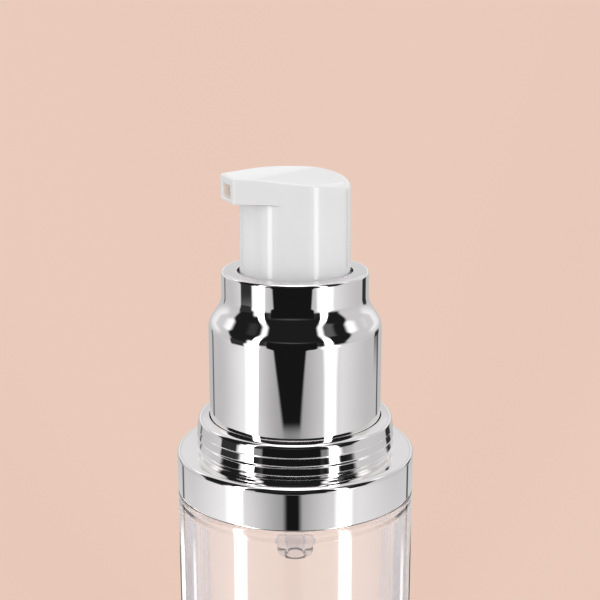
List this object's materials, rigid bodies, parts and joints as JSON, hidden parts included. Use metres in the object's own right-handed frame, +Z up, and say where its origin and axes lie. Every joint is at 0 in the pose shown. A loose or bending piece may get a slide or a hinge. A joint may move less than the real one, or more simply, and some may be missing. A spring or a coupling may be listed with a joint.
{
  "type": "airless pump bottle",
  "caption": "Clear double-walled airless pump bottle with a plated shoulder ring and collar, a white swivelling spout head, a sprung pump and a rising follower piston.",
  "frame": {"origin": "centre of the base, on the plane that the bottle stands on", "axes": "+Z up along the bottle's axis; the spout points along -X when the head is at rest"},
  "size_m": [0.037, 0.037, 0.1141],
  "materials": {
    "clear_acrylic": "clear polished acrylic",
    "clear_liner": "clear gloss",
    "natural_plastic": "translucent natural plastic",
    "nose_plastic": "translucent natural plastic",
    "bright_plating": "bright plated",
    "follower_plastic": "waxy satin",
    "inner_white": "satin",
    "seal_rubber": "soft grey",
    "steel": "bright steel",
    "head_white": "gloss white",
    "outlet_beige": "soft beige-grey"
  },
  "bodies": {
    "bottle": {"outer_bottle": "clear_acrylic", "inner_bottle": "clear_liner", "base_plug": "natural_plastic", "shoulder_ring": "bright_plating"},
    "follower": {"follower_piston": "follower_plastic"},
    "pump": {"pump_housing": "natural_plastic", "housing_gasket": "seal_rubber", "guide_bush": "inner_white", "stem_wiper": "seal_rubber", "inlet_valve_body": "nose_plastic", "ball_cage": "natural_plastic", "return_spring": "steel"},
    "collar": {"closure": "inner_white", "collar_shell": "bright_plating"},
    "plunger": {"pump_piston": "follower_plastic", "piston_rod": "inner_white", "stem": "inner_white", "spring_cup": "inner_white"},
    "head": {"actuator": "head_white", "outlet_valve": "outlet_beige"},
    "inlet_check": {"inlet_ball": "steel"},
    "outlet_check": {"outlet_ball": "steel"}
  },
  "joints": [
    {"name": "follower_rise", "type": "slide", "parent": "bottle", "child": "follower", "axis": [0, 0, 1], "range_m": [0, 0.0431]},
    {"name": "pump_rise", "type": "slide", "parent": "bottle", "child": "pump", "axis": [0, 0, 1], "range_m": [0, 0.0045]},
    {"name": "collar_turn", "type": "hinge", "parent": "pump", "child": "collar", "pos_m": [0, 0, 0.08], "axis": [0, 0, 1], "range_deg": [0, 540]},
    {"name": "press", "type": "slide", "parent": "pump", "child": "plunger", "axis": [0, 0, 1], "range_m": [-0.0055, 0], "stiffness_N_per_m": 1500, "springref_m": 0.0033, "deforming": ["return_spring"]},
    {"name": "head_turn", "type": "hinge", "parent": "plunger", "child": "head", "pos_m": [0, 0, 0.105], "axis": [0, 0, 1], "continuous": true},
    {"name": "inlet_lift", "type": "slide", "parent": "pump", "child": "inlet_check", "axis": [0, 0, 1], "range_m": [0, 0.0008]},
    {"name": "outlet_lift", "type": "slide", "parent": "plunger", "child": "outlet_check", "axis": [0, 0, 1], "range_m": [0, 0.0008]}
  ],
  "couplings": [
    {"joint": "pump_rise", "follows": "collar_turn", "m_per_rad": 0.00047746}
  ]
}
